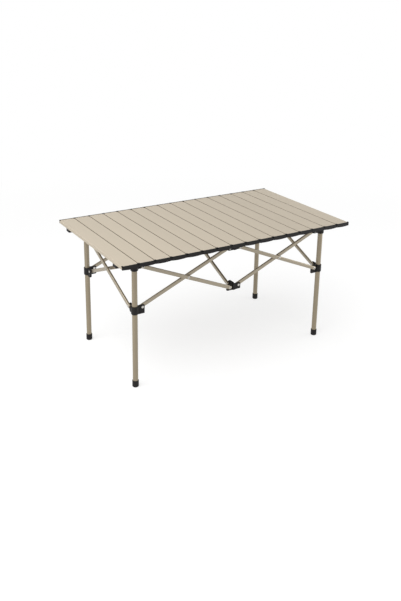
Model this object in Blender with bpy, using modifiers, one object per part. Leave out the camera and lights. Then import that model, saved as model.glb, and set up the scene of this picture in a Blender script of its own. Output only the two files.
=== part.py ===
"""Folding camp table: a roll-up top of slats on a frame of scissor bars between four legs.

Metres, +Z up, +X along the table, +Y to its back. The origin is on the floor under the middle of the top.
"""

import math

import bmesh
import bpy
from mathutils import Matrix, Vector

# Overall size
TOP_LENGTH = 0.950
TOP_DEPTH = 0.545
TABLE_HEIGHT = 0.484

# Gaps between pieces that rest on, pass through or slide along each other
CLEARANCE = 0.0003
SLIDE_CLEARANCE = 0.0005

# Slats, each an open channel with a cap at both ends
SLAT_COUNT = 16
SLAT_GAP = 0.0006
SLAT_HEIGHT = 0.012
SLAT_WALL = 0.0011
SLAT_EDGE_RADIUS = 0.0012
SLAT_RIB_COUNT = 2
SLAT_RIB_HEIGHT = 0.007
CAP_THICKNESS = 0.004
CAP_INSET = 0.0004
CAP_EDGE_DEPTH = 0.0125
CAP_BELLY = 0.0035

# Legs and feet
LEG_FROM_END = 0.077
LEG_RADIUS = 0.0095
LEG_WALL = 0.0012
FOOT_RADIUS = 0.0115
FOOT_HEIGHT = 0.0245
FOOT_SOLE = 0.004
FOOT_ROUNDING = 0.003

# Scissor bars, of one length in every row
PIVOT_REACH = 0.028
HUB_REACH = 0.021
TOP_PIVOT_DROP = 0.041
SCISSOR_RISE = 0.148
BAR_HEIGHT = 0.0135
BAR_THICKNESS = 0.008
BAR_WALL = 0.0011
BAR_END = 0.0075
BAR_END_RADIUS = 0.0045
BAR_EDGE = 0.0008

# Rivets
RIVET_RADIUS = 0.0025
RIVET_HEAD_RADIUS = 0.0046
RIVET_HEAD_HEIGHT = 0.0012
SPACER_RADIUS = 0.006

# Plastic hubs and sliders
LUG_THICKNESS = 0.006
LUG_END = 0.008
LUG_NEAR_EDGE = 0.009
LUG_FAR_EDGE = 0.0205
LUG_CHAMFER = 0.003
TOP_HUB_RADIUS = 0.013
TOP_HUB_LENGTH = 0.041
TOP_HUB_ROOF = 0.009
TOP_HUB_TAPER = 0.008
TOP_HUB_LIP = 0.0006
TOP_HUB_EDGE = 0.0015
SLEEVE_RADIUS = 0.0125
SLEEVE_ROUNDING = 0.0025
ARM_INSET = 0.007
ARM_WIDTH = 0.030
ARM_HEIGHT = 0.015
CENTRE_CORE = 0.012
CENTRE_PAD = 0.026
CENTRE_PAD_HEIGHT = 0.008
LOWER_HUB_ABOVE = 0.0155
LOWER_HUB_BELOW = 0.0145
LOWER_HUB_CHAMFER = 0.009
UPPER_HUB_BELOW = 0.0085
UPPER_HUB_CHAMFER = 0.005

# Number of sides of the round pieces
ROUND_STEPS = 20
RIVET_STEPS = 8
ARC_STEPS = 2
BELLY_STEPS = 6

# Faces that meet at less than the first angle are one flat face. Past the second they shade as a sharp edge,
# and past the third they are a rim that can be bevelled
FLAT_ANGLE = math.radians(0.1)
SHARP_ANGLE = math.radians(35)
RIM_ANGLE = math.radians(60)

# Points closer than this are one point, also where a turned shape closes
WELD_DISTANCE = 1e-6
TURN_WELD_DISTANCE = 1e-5

# Size at which the empties of the joints are drawn
AXIS_SIZE = 0.02

# Colours in linear RGB, roughness and metallic value
SLAT_FINISH = ((0.60, 0.51, 0.40), 0.50, 0.35)
LEG_FINISH = ((0.38, 0.33, 0.25), 0.38, 0.75)
BAR_FINISH = ((0.40, 0.37, 0.31), 0.36, 0.80)
PLASTIC_FINISH = ((0.022, 0.020, 0.019), 0.48, 0.0)

# Places that follow from the sizes
leg_x = TOP_LENGTH / 2 - LEG_FROM_END
bar_span = leg_x - PIVOT_REACH - HUB_REACH
cross_pivot_y = bar_span / 2
leg_y = cross_pivot_y + PIVOT_REACH
bar_length = math.hypot(bar_span, SCISSOR_RISE)
bar_offset = LUG_THICKNESS / 2 + CLEARANCE + BAR_THICKNESS / 2
upper_z = TABLE_HEIGHT - TOP_PIVOT_DROP
lower_z = upper_z - SCISSOR_RISE
seat_z = TABLE_HEIGHT - SLAT_HEIGHT - CLEARANCE
slat_width = (TOP_LENGTH - (SLAT_COUNT - 1) * SLAT_GAP) / SLAT_COUNT
slat_pitch = slat_width + SLAT_GAP

ROWS = {"front": -1, "back": 1}
COLUMNS = {"left": -1, "centre": 0, "right": 1}
ENDS = {"left": -1, "right": 1}

# Turn an outline drawn in XY, and thick along Z, into one drawn in XZ or in YZ
OUTLINE_IN_XZ = Matrix(((1, 0, 0, 0), (0, 0, -1, 0), (0, 1, 0, 0), (0, 0, 0, 1)))
OUTLINE_IN_YZ = Matrix(((0, 0, 1, 0), (1, 0, 0, 0), (0, 1, 0, 0), (0, 0, 0, 1)))
TURNED_ALONG_X = Matrix.Rotation(math.radians(90), 4, "Y")
TURNED_ALONG_Y = Matrix.Rotation(math.radians(-90), 4, "X")


def clear_scene():
    """Remove every object of the scene."""
    for obj in list(bpy.data.objects):
        bpy.data.objects.remove(obj, do_unlink=True)


def new_collection(name):
    """A new collection in the scene."""
    collection = bpy.data.collections.new(name)
    bpy.context.scene.collection.children.link(collection)
    return collection


def new_material(name, finish):
    """A Principled material of one colour."""
    colour, roughness, metallic = finish
    material = bpy.data.materials.new(name)
    material.use_nodes = True
    surface = material.node_tree.nodes["Principled BSDF"]
    surface.inputs["Base Color"].default_value = (*colour, 1)
    surface.inputs["Roughness"].default_value = roughness
    surface.inputs["Metallic"].default_value = metallic
    material.diffuse_color = (*colour, 1)
    return material


def helper(name, data):
    """A shape that is only joined to or cut from another."""
    obj = bpy.data.objects.new(name, data)
    helpers.objects.link(obj)
    obj.hide_render = True
    obj.display_type = "WIRE"
    return obj


def baked(obj):
    """The mesh of an object with its modifiers applied. The object itself is removed."""
    graph = bpy.context.evaluated_depsgraph_get()
    mesh = bpy.data.meshes.new_from_object(obj.evaluated_get(graph))
    mesh.transform(obj.matrix_world)
    bpy.data.objects.remove(obj, do_unlink=True)
    return mesh


def welded(mesh):
    """The mesh with doubled points made one, flat faces made whole and its faces turned outwards."""
    shape = bmesh.new()
    shape.from_mesh(mesh)
    bmesh.ops.remove_doubles(shape, verts=shape.verts, dist=WELD_DISTANCE)
    bmesh.ops.dissolve_limit(shape, angle_limit=FLAT_ANGLE, verts=shape.verts, edges=shape.edges)
    bmesh.ops.recalc_face_normals(shape, faces=shape.faces)
    shape.to_mesh(mesh)
    shape.free()
    return mesh


def block(low, high):
    """A box between two corners."""
    low = Vector(low)
    high = Vector(high)
    shape = bmesh.new()
    bmesh.ops.create_cube(shape, size=1)
    bmesh.ops.scale(shape, vec=high - low, verts=shape.verts)
    bmesh.ops.translate(shape, vec=(low + high) / 2, verts=shape.verts)
    mesh = bpy.data.meshes.new("block")
    shape.to_mesh(mesh)
    shape.free()
    return mesh


def plate(outline, thickness, edge=0.0):
    """A flat outline in XY, thick about z = 0, with its rims bevelled by an edge width."""
    curve = bpy.data.curves.new("outline", "CURVE")
    curve.dimensions = "2D"
    curve.fill_mode = "BOTH"
    curve.extrude = thickness / 2
    spline = curve.splines.new("POLY")
    spline.points.add(len(outline) - 1)
    for point, (x, y) in zip(spline.points, outline):
        point.co = (x, y, 0, 1)
    spline.use_cyclic_u = True
    mesh = welded(baked(helper("outline", curve)))
    bpy.data.curves.remove(curve)
    if not edge:
        return mesh
    obj = helper("plate", mesh)
    bevel = obj.modifiers.new("Rims", "BEVEL")
    bevel.width = edge
    bevel.segments = 1
    bevel.limit_method = "ANGLE"
    bevel.angle_limit = RIM_ANGLE
    return baked(obj)


def turned(profile, steps, closed=False):
    """A profile of (radius, height) points, running down its outer side, turned about the Z axis."""
    mesh = bpy.data.meshes.new("profile")
    points = [(radius, 0, height) for radius, height in profile]
    edges = [(i, i + 1) for i in range(len(points) - 1)]
    if closed:
        edges.append((len(points) - 1, 0))
    mesh.from_pydata(points, edges, [])
    obj = helper("turned", mesh)
    screw = obj.modifiers.new("Turn", "SCREW")
    screw.steps = steps
    screw.render_steps = steps
    screw.use_merge_vertices = True
    screw.merge_threshold = TURN_WELD_DISTANCE
    return welded(baked(obj))


def merged(base, additions=(), cuts=()):
    """One mesh made of a base mesh, with others joined to it and then cut from it."""
    obj = helper("base", base)
    operands = [(mesh, "UNION") for mesh in additions] + [(mesh, "DIFFERENCE") for mesh in cuts]
    tools = []
    for mesh, operation in operands:
        tool = helper("tool", mesh)
        modifier = obj.modifiers.new(operation.title(), "BOOLEAN")
        modifier.operation = operation
        modifier.object = tool
        tools.append(tool)
    mesh = baked(obj)
    for tool in tools:
        bpy.data.objects.remove(tool, do_unlink=True)
    return mesh


def moved(mesh, matrix):
    """The mesh after a transform."""
    mesh.transform(matrix)
    return mesh


def at(x=0.0, y=0.0, z=0.0):
    """A move by these distances."""
    return Matrix.Translation((x, y, z))


def arc(centre_x, centre_y, radius, start, end, steps=ARC_STEPS):
    """Points of an arc, its angles in degrees."""
    turn = [math.radians(start + (end - start) * i / steps) for i in range(steps + 1)]
    return [(centre_x + radius * math.cos(a), centre_y + radius * math.sin(a)) for a in turn]


def rod(radius, start, end, steps=ROUND_STEPS):
    """A round rod along Z."""
    return turned([(0, end), (radius, end), (radius, start), (0, start)], steps)


def finished(mesh, name, material):
    """Name a mesh, give it its material and shade it smooth up to sharp edges."""
    mesh.name = name
    mesh.materials.clear()
    mesh.materials.append(material)
    mesh.shade_smooth()
    mesh.set_sharp_from_angle(angle=SHARP_ANGLE)
    return mesh


def joint_empty(body, parent, pivot):
    """An empty on the joint axis of a body, carried by the empty of the body before it."""
    empty = bpy.data.objects.new("axis_" + body, None)
    empty.empty_display_size = AXIS_SIZE
    table.objects.link(empty)
    bodies[body] = (empty, Vector(pivot))
    if parent:
        empty.parent = bodies[parent][0]
        empty.location = Vector(pivot) - bodies[parent][1]
    else:
        empty.location = pivot


def add_part(name, mesh, body, placement):
    """A named piece of the table, carried by the empty of its body."""
    obj = bpy.data.objects.new(name, mesh)
    table.objects.link(obj)
    empty, pivot = bodies[body]
    obj.parent = empty
    obj.matrix_parent_inverse = Matrix.Identity(4)
    obj.matrix_basis = Matrix.Translation(-pivot) @ placement


# The frame's bodies, their joints and how the empties hang on each other


def side_pivot(column, row, z):
    """The pivot of a cross bar beside the leg or hub of a column, at a row."""
    return (COLUMNS[column] * leg_x, ROWS[row] * cross_pivot_y, z)


def row_pivot(end, row, z):
    """The pivot of a long bar beside a leg."""
    return (ENDS[end] * (leg_x - PIVOT_REACH), ROWS[row] * leg_y, z)


def hub_pivot(end, row, z):
    """The pivot of a long bar beside a centre hub."""
    return (ENDS[end] * HUB_REACH, ROWS[row] * leg_y, z)


def middle(start, end):
    """The point half way between two points."""
    return (Vector(start) + Vector(end)) / 2


def row_bars(row):
    """The long bars of a row, as name, start, end and the side of the lugs that each lies on."""
    bars = []
    for slope, start_z, end_z, side in (("falling", upper_z, lower_z, -1), ("rising", lower_z, upper_z, 1)):
        lug_side = (0, side, 0)
        leg_start = row_pivot("left", row, start_z)
        hub_start = hub_pivot("right", row, start_z)
        bars.append((f"bar_{row}_left_{slope}", leg_start, hub_pivot("left", row, end_z), lug_side))
        bars.append((f"bar_{row}_right_{slope}", hub_start, row_pivot("right", row, end_z), lug_side))
    return bars


def cross_bars(column):
    """The cross bars of a column, from front to back."""
    bars = []
    for slope, start_z, end_z, side in (("falling", upper_z, lower_z, 1), ("rising", lower_z, upper_z, -1)):
        start = side_pivot(column, "front", start_z)
        bars.append((f"bar_{column}_{slope}", start, side_pivot(column, "back", end_z), (side, 0, 0)))
    return bars


def add_row_empties(row, first):
    """The bodies of a row: from its left leg to the centre hubs and on to its right leg."""
    cross_left = middle(row_pivot("left", row, upper_z), hub_pivot("left", row, lower_z))
    joint_empty(f"bar_{row}_left_falling", first, row_pivot("left", row, upper_z))
    joint_empty(f"bar_{row}_left_rising", f"bar_{row}_left_falling", cross_left)
    if row == "front":
        joint_empty("slider_front_left", "bar_front_left_rising", row_pivot("left", row, lower_z))
        joint_empty("hub_upper_front", "bar_front_left_rising", hub_pivot("left", row, upper_z))
        joint_empty("hub_lower_front", "bar_front_left_falling", hub_pivot("left", row, lower_z))
        joint_empty("bar_centre_falling", "hub_upper_front", side_pivot("centre", "front", upper_z))
        cross = middle(side_pivot("centre", "front", upper_z), side_pivot("centre", "back", lower_z))
        joint_empty("bar_centre_rising", "bar_centre_falling", cross)
        joint_empty("hub_upper_back", "bar_centre_rising", side_pivot("centre", "back", upper_z))
        joint_empty("hub_lower_back", "bar_centre_falling", side_pivot("centre", "back", lower_z))
    joint_empty(f"bar_{row}_right_falling", f"hub_upper_{row}", hub_pivot("right", row, upper_z))
    joint_empty(f"bar_{row}_right_rising", f"hub_lower_{row}", hub_pivot("right", row, lower_z))
    joint_empty(f"leg_{row}_right", f"bar_{row}_right_rising", row_pivot("right", row, upper_z))
    joint_empty(f"slider_{row}_right", f"bar_{row}_right_falling", row_pivot("right", row, lower_z))


def add_side_empties(column):
    """The scissor between the two legs of one end."""
    joint_empty(f"bar_{column}_falling", f"leg_front_{column}", side_pivot(column, "front", upper_z))
    cross = middle(side_pivot(column, "front", upper_z), side_pivot(column, "back", lower_z))
    joint_empty(f"bar_{column}_rising", f"bar_{column}_falling", cross)
    if column == "left":
        joint_empty("leg_back_left", "bar_left_rising", side_pivot("left", "back", upper_z))
        joint_empty("slider_back_left", "bar_left_falling", side_pivot("left", "back", lower_z))


def add_frame_empties():
    """All bodies of the frame, carried in the end by the front left leg."""
    joint_empty("leg_front_left", None, (-leg_x, -leg_y, 0))
    add_row_empties("front", "leg_front_left")
    add_side_empties("left")
    add_side_empties("right")
    add_row_empties("back", "leg_back_left")


# Shapes of the pieces


def slat_section():
    """Outline of a slat's channel, with its top at y = 0."""
    half = slat_width / 2
    radius = SLAT_EDGE_RADIUS
    outline = [(-half, -SLAT_HEIGHT)]
    outline += arc(-half + radius, -radius, radius, 180, 90)
    outline += arc(half - radius, -radius, radius, 90, 0)
    inner = half - SLAT_WALL
    outline += [(half, -SLAT_HEIGHT), (inner, -SLAT_HEIGHT), (inner, -SLAT_WALL)]
    return outline + [(-inner, -SLAT_WALL), (-inner, -SLAT_HEIGHT)]


def slat_ribs():
    """The ribs under a slat's sheet, which end inside its caps."""
    ribs = []
    for i in range(SLAT_RIB_COUNT):
        centre = slat_width * ((i + 1) / (SLAT_RIB_COUNT + 1) - 0.5)
        low = Vector((centre - SLAT_WALL / 2, CAP_THICKNESS / 2 - TOP_DEPTH / 2, -SLAT_RIB_HEIGHT))
        high = Vector((centre + SLAT_WALL / 2, -low.y, -SLAT_WALL / 2))
        ribs.append(block(low, high))
    return ribs


def cap_outline():
    """Outline of an end cap, which hangs below the slat in a shallow belly."""
    half = slat_width / 2 - CAP_INSET
    points = [(-half, -SLAT_WALL / 2), (-half, -CAP_EDGE_DEPTH)]
    for i in range(1, BELLY_STEPS):
        share = i / BELLY_STEPS
        points.append((-half + 2 * half * share, -CAP_EDGE_DEPTH - CAP_BELLY * math.sin(math.pi * share)))
    return points + [(half, -CAP_EDGE_DEPTH), (half, -SLAT_WALL / 2)]


def slat_mesh():
    """A slat, with its origin in the middle of its top surface."""
    channel = moved(plate(slat_section(), TOP_DEPTH), OUTLINE_IN_XZ)
    caps = []
    for side in ROWS.values():
        y = side * (TOP_DEPTH / 2 - CAP_INSET - CAP_THICKNESS / 2)
        caps.append(moved(plate(cap_outline(), CAP_THICKNESS), at(y=y) @ OUTLINE_IN_XZ))
    return merged(channel, caps + slat_ribs())


def leg_mesh():
    """A leg tube, from inside the foot to inside the top hub."""
    bottom = FOOT_SOLE + CLEARANCE
    top = seat_z - TOP_HUB_ROOF - CLEARANCE
    inner = LEG_RADIUS - LEG_WALL
    wall = [(LEG_RADIUS, top), (LEG_RADIUS, bottom), (inner, bottom), (inner, top)]
    return turned(wall, ROUND_STEPS, True)


def foot_mesh():
    """A foot: a cup on the leg's end, with a rounded bottom rim."""
    bore = LEG_RADIUS + CLEARANCE
    rim = FOOT_RADIUS - FOOT_ROUNDING
    outer = [(bore, FOOT_HEIGHT), (FOOT_RADIUS, FOOT_HEIGHT)]
    outer += arc(rim, FOOT_ROUNDING, FOOT_ROUNDING, 0, -90)
    outer += [(0, 0)]
    return turned([(0, FOOT_SOLE), (bore, FOOT_SOLE)] + outer, ROUND_STEPS)


def lug_outline(reach, below, above, near, far):
    """Outline of a lug about its pivot's height, from the axis out to its reach, with cut corners."""
    return [
        (0, -below),
        (reach - near, -below),
        (reach, -below + near),
        (reach, above - far),
        (reach - far, above),
        (0, above),
    ]


def lug(direction, outline, pivot_z):
    """A lug plate from the Z axis along +X, -X, +Y or -Y."""
    x, y = direction
    flat = plate([((x + y) * reach, height) for reach, height in outline][:: x + y], LUG_THICKNESS)
    return moved(flat, at(z=pivot_z) @ (OUTLINE_IN_XZ if x else OUTLINE_IN_YZ))


def rivet_hole(x, y, z, along):
    """A cutter for the hole of a rivet through a lug."""
    turn = TURNED_ALONG_X if along == "X" else TURNED_ALONG_Y
    cutter = rod(RIVET_RADIUS + CLEARANCE, -LUG_THICKNESS, LUG_THICKNESS, RIVET_STEPS)
    return moved(cutter, at(x, y, z) @ turn)


def corner_lugs(inward_x, inward_y, below, above, pivot_z):
    """The two lugs of a corner piece and the cutters of their rivet holes."""
    outline = lug_outline(PIVOT_REACH + LUG_END, below, above, LUG_CHAMFER, LUG_CHAMFER)
    lugs = [lug((inward_x, 0), outline, pivot_z), lug((0, inward_y), outline, pivot_z)]
    holes = [
        rivet_hole(inward_x * PIVOT_REACH, 0, pivot_z, "Y"),
        rivet_hole(0, inward_y * PIVOT_REACH, pivot_z, "X"),
    ]
    return lugs, holes


def top_hub_mesh(inward_x, inward_y):
    """A top hub: a bell over the leg's end, two lugs, and an arm out under the end of the slats."""
    bottom = seat_z - TOP_HUB_LENGTH
    bore = LEG_RADIUS + CLEARANCE
    bell = turned(
        [
            (0, seat_z),
            (TOP_HUB_RADIUS - TOP_HUB_EDGE, seat_z),
            (TOP_HUB_RADIUS, seat_z - TOP_HUB_EDGE),
            (TOP_HUB_RADIUS, bottom + TOP_HUB_TAPER),
            (bore + TOP_HUB_LIP, bottom),
            (0, bottom),
        ],
        ROUND_STEPS,
    )
    lugs, holes = corner_lugs(inward_x, inward_y, LUG_NEAR_EDGE, LUG_FAR_EDGE, upper_z)
    arm_end = -inward_x * (LEG_FROM_END - ARM_INSET)
    low = (min(0, arm_end), -ARM_WIDTH / 2, seat_z - ARM_HEIGHT)
    high = (max(0, arm_end), ARM_WIDTH / 2, seat_z)
    socket = rod(bore, bottom - TOP_HUB_TAPER, seat_z - TOP_HUB_ROOF)
    return merged(bell, [*lugs, block(low, high)], [socket, *holes])


def slider_mesh(inward_x, inward_y):
    """A slider: a sleeve that runs on the leg, with two lugs. Its origin is at the pivots' height."""
    bore = LEG_RADIUS + SLIDE_CLEARANCE
    rim = SLEEVE_RADIUS - SLEEVE_ROUNDING
    profile = [(0, LUG_NEAR_EDGE), (SLEEVE_RADIUS, LUG_NEAR_EDGE)]
    profile += arc(rim, SLEEVE_ROUNDING - LUG_FAR_EDGE, SLEEVE_ROUNDING, 0, -90)
    profile += [(0, -LUG_FAR_EDGE)]
    sleeve = turned(profile, ROUND_STEPS)
    lugs, holes = corner_lugs(inward_x, inward_y, LUG_FAR_EDGE, LUG_NEAR_EDGE, 0)
    passage = rod(bore, -2 * LUG_FAR_EDGE, 2 * LUG_FAR_EDGE)
    return merged(sleeve, lugs, [passage, *holes])


def centre_hub_mesh(inward_y, below, above, chamfer, pad):
    """A centre hub: a core with a lug to either side and one inwards, its origin at the pivots' height."""
    row_lug = lug_outline(HUB_REACH + LUG_END, below, above, chamfer, LUG_CHAMFER)
    cross_lug = lug_outline(PIVOT_REACH + LUG_END, below, above, chamfer, LUG_CHAMFER)
    core = block((-CENTRE_CORE / 2, -CENTRE_CORE / 2, -below), (CENTRE_CORE / 2, CENTRE_CORE / 2, above))
    additions = [lug((-1, 0), row_lug, 0), lug((1, 0), row_lug, 0), lug((0, inward_y), cross_lug, 0)]
    if pad:
        low = (-CENTRE_PAD / 2, -CENTRE_PAD / 2, above - CENTRE_PAD_HEIGHT)
        additions.append(block(low, (CENTRE_PAD / 2, CENTRE_PAD / 2, above)))
    holes = [
        rivet_hole(-HUB_REACH, 0, 0, "Y"),
        rivet_hole(HUB_REACH, 0, 0, "Y"),
        rivet_hole(0, inward_y * PIVOT_REACH, 0, "X"),
    ]
    return merged(core, additions, holes)


def bar_outline():
    """Side view of a bar about its middle, with rounded ends."""
    x = bar_length / 2 + BAR_END - BAR_END_RADIUS
    y = BAR_HEIGHT / 2 - BAR_END_RADIUS
    radius = BAR_END_RADIUS
    right = arc(x, y, radius, 90, 0) + arc(x, -y, radius, 0, -90)
    return right + arc(-x, -y, radius, -90, -180) + arc(-x, y, radius, 180, 90)


def bar_rivet():
    """A rivet along Z: its head on the bar's outer face and its tail behind the lug."""
    face = BAR_THICKNESS / 2
    tail = face + CLEARANCE + LUG_THICKNESS + CLEARANCE
    chamfer = RIVET_HEAD_HEIGHT / 2
    return turned(
        [
            (0, tail + RIVET_HEAD_HEIGHT),
            (RIVET_HEAD_RADIUS - chamfer, tail + RIVET_HEAD_HEIGHT),
            (RIVET_HEAD_RADIUS, tail),
            (RIVET_RADIUS, tail),
            (RIVET_RADIUS, -face + BAR_WALL / 2),
            (RIVET_HEAD_RADIUS, -face + BAR_WALL / 2),
            (RIVET_HEAD_RADIUS, -face),
            (RIVET_HEAD_RADIUS - chamfer, -face - RIVET_HEAD_HEIGHT),
            (0, -face - RIVET_HEAD_HEIGHT),
        ],
        RIVET_STEPS,
    )


def bar_mesh():
    """A bar tube along X with its end rivets. It is thick along Y, and its lugs are on its +Y side."""
    tube = moved(plate(bar_outline(), BAR_THICKNESS, BAR_EDGE), OUTLINE_IN_XZ)
    inner_y = BAR_THICKNESS / 2 - BAR_WALL
    inner_z = BAR_HEIGHT / 2 - BAR_WALL
    bore = block((-bar_length, -inner_y, -inner_z), (bar_length, inner_y, inner_z))
    hole = moved(rod(RIVET_RADIUS + CLEARANCE, -BAR_THICKNESS, BAR_THICKNESS, RIVET_STEPS), TURNED_ALONG_Y)
    hollow = merged(tube, (), [bore, hole])
    rivets = [moved(bar_rivet(), at(x=side * bar_length / 2) @ TURNED_ALONG_Y) for side in ENDS.values()]
    return merged(hollow, rivets)


def crossing_rivet_mesh():
    """The rivet where two bars cross, along Z: a spacer between them and a head on each outer face."""
    spacer = LUG_THICKNESS / 2
    face = spacer + CLEARANCE + BAR_THICKNESS + CLEARANCE
    chamfer = RIVET_HEAD_HEIGHT / 2
    upper = [
        (0, face + RIVET_HEAD_HEIGHT),
        (RIVET_HEAD_RADIUS - chamfer, face + RIVET_HEAD_HEIGHT),
        (RIVET_HEAD_RADIUS, face),
        (RIVET_RADIUS, face),
        (RIVET_RADIUS, spacer),
        (SPACER_RADIUS, spacer),
    ]
    lower = [(radius, -height) for radius, height in reversed(upper)]
    return turned(upper + lower, RIVET_STEPS)


# Placing the pieces


def add_slats(material):
    """The slats from left to right, each hung on the one before it by the edge between their top faces."""
    mesh = finished(slat_mesh(), "slat", material)
    for i in range(SLAT_COUNT):
        body = f"slat_{i + 1:02d}"
        left_edge = -TOP_LENGTH / 2 + slat_pitch * i
        pivot = (left_edge - SLAT_GAP / 2 if i else left_edge, 0, TABLE_HEIGHT)
        joint_empty(body, f"slat_{i:02d}" if i else "leg_front_left", pivot)
        add_part(body, mesh, body, at(left_edge + slat_width / 2, 0, TABLE_HEIGHT))


def add_corners(leg_material, plastic):
    """The four legs with their feet, top hubs and sliders."""
    tube = finished(leg_mesh(), "leg", leg_material)
    foot = finished(foot_mesh(), "foot", plastic)
    for row, row_side in ROWS.items():
        for end, end_side in ENDS.items():
            corner = f"{row}_{end}"
            x = end_side * leg_x
            y = row_side * leg_y
            top_hub = finished(top_hub_mesh(-end_side, -row_side), f"top_hub_{corner}", plastic)
            slider = finished(slider_mesh(-end_side, -row_side), f"slider_{corner}", plastic)
            add_part(f"leg_{corner}", tube, f"leg_{corner}", at(x, y))
            add_part(f"foot_{corner}", foot, f"leg_{corner}", at(x, y))
            add_part(f"top_hub_{corner}", top_hub, f"leg_{corner}", at(x, y))
            add_part(f"slider_{corner}", slider, f"slider_{corner}", at(x, y, lower_z))


def add_centre_hubs(plastic):
    """The upper and lower hub in the middle of each row."""
    upper_top = seat_z - upper_z
    for row, row_side in ROWS.items():
        upper = centre_hub_mesh(-row_side, UPPER_HUB_BELOW, upper_top, UPPER_HUB_CHAMFER, True)
        lower = centre_hub_mesh(-row_side, LOWER_HUB_BELOW, LOWER_HUB_ABOVE, LOWER_HUB_CHAMFER, False)
        y = row_side * leg_y
        name = f"hub_upper_{row}"
        add_part(name, finished(upper, name, plastic), name, at(0, y, upper_z))
        name = f"hub_lower_{row}"
        add_part(name, finished(lower, name, plastic), name, at(0, y, lower_z))


def add_bars(material):
    """The bars of every scissor, each on its side of the lugs."""
    mesh = finished(bar_mesh(), "bar", material)
    bars = [bar for row in ROWS for bar in row_bars(row)]
    bars += [bar for column in COLUMNS for bar in cross_bars(column)]
    for name, start, end, side in bars:
        along = (Vector(end) - Vector(start)).normalized()
        to_lug = -Vector(side)
        axes = Matrix((along, to_lug, along.cross(to_lug))).transposed().to_4x4()
        centre = middle(start, end) + bar_offset * Vector(side)
        add_part(name, mesh, name, Matrix.Translation(centre) @ axes)


def add_crossing_rivets(material):
    """The rivet in the middle of each scissor, carried by its falling bar."""
    mesh = finished(crossing_rivet_mesh(), "crossing_rivet", material)
    for row in ROWS:
        for end in ENDS:
            centre = middle(row_pivot(end, row, upper_z), hub_pivot(end, row, lower_z))
            placement = Matrix.Translation(centre) @ TURNED_ALONG_Y
            add_part(f"rivet_{row}_{end}", mesh, f"bar_{row}_{end}_falling", placement)
    for column in COLUMNS:
        centre = middle(side_pivot(column, "front", upper_z), side_pivot(column, "back", lower_z))
        placement = Matrix.Translation(centre) @ TURNED_ALONG_X
        add_part(f"rivet_{column}", mesh, f"bar_{column}_falling", placement)


clear_scene()
table = new_collection("folding_camp_table")
helpers = new_collection("helpers")
bodies = {}

slat_material = new_material("slat_metal", SLAT_FINISH)
leg_material = new_material("leg_metal", LEG_FINISH)
bar_material = new_material("bar_metal", BAR_FINISH)
plastic = new_material("black_plastic", PLASTIC_FINISH)

add_frame_empties()
add_slats(slat_material)
add_corners(leg_material, plastic)
add_centre_hubs(plastic)
add_bars(bar_material)
add_crossing_rivets(bar_material)
bpy.data.collections.remove(helpers)
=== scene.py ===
"""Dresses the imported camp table: metal, plastic, rivets, slats, and the studio round it."""

import math

import bmesh
import bpy
from mathutils import Matrix, Vector


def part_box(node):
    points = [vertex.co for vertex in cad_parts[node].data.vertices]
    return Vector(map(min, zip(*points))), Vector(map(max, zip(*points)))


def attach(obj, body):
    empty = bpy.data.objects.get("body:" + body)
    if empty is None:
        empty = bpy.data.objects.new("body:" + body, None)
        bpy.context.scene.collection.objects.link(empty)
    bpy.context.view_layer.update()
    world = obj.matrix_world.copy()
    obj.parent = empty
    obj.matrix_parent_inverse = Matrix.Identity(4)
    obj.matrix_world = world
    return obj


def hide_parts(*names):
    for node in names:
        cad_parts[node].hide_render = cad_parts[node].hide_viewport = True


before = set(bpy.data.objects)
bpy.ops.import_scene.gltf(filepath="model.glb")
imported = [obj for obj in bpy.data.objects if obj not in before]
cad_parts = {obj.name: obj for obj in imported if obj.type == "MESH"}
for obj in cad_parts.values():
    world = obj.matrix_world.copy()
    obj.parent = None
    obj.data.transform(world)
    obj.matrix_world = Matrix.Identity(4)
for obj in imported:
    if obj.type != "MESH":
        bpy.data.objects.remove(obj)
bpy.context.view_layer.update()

# Legs
# Four straight tubes of drawn aluminium, anodised in a light champagne shade. Each stands in a foot,
# carries a slider, and ends inside a top hub. One hollow rivet, seen below the hub, pins the tube.

ROWS = {"front": -1, "back": 1}
ENDS = {"left": -1, "right": 1}
LEG_RADIUS = 0.0095
LEG_WALL = 0.0012
LEG_STEPS = 64
PIN_RADIUS = 0.0024
PIN_PROUD = 0.0009
PIN_HOLLOW = 0.0011
PIN_HEIGHT = 0.420
PIN_STEPS = 20
ROUND_STEPS = 48
EDGE_STEPS = 5
RIVET_STEPS = 24
SMOOTH_ANGLE = 32
WELD_DISTANCE = 1e-7
BUMP_STRENGTH = 0.6
ANODISED_METALLIC = 0.60
ANODISED_ROUGHNESS = 0.30
ANODISED_BUMP = 0.000015
ANODISED_SHADES = (0.88, 1.10)
ANODISED_RUBBED = 1.30
LEG_METAL = (0.325, 0.273, 0.194)
LEG_STREAK = (1400, 1400, 16)
RIVET_BRIGHT = (0.66, 0.64, 0.60)
RIVET_DULL = (0.50, 0.48, 0.45)
RIVET_SHADOW = (0.035, 0.032, 0.030)
RIVET_BUMP = 0.00003


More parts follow.
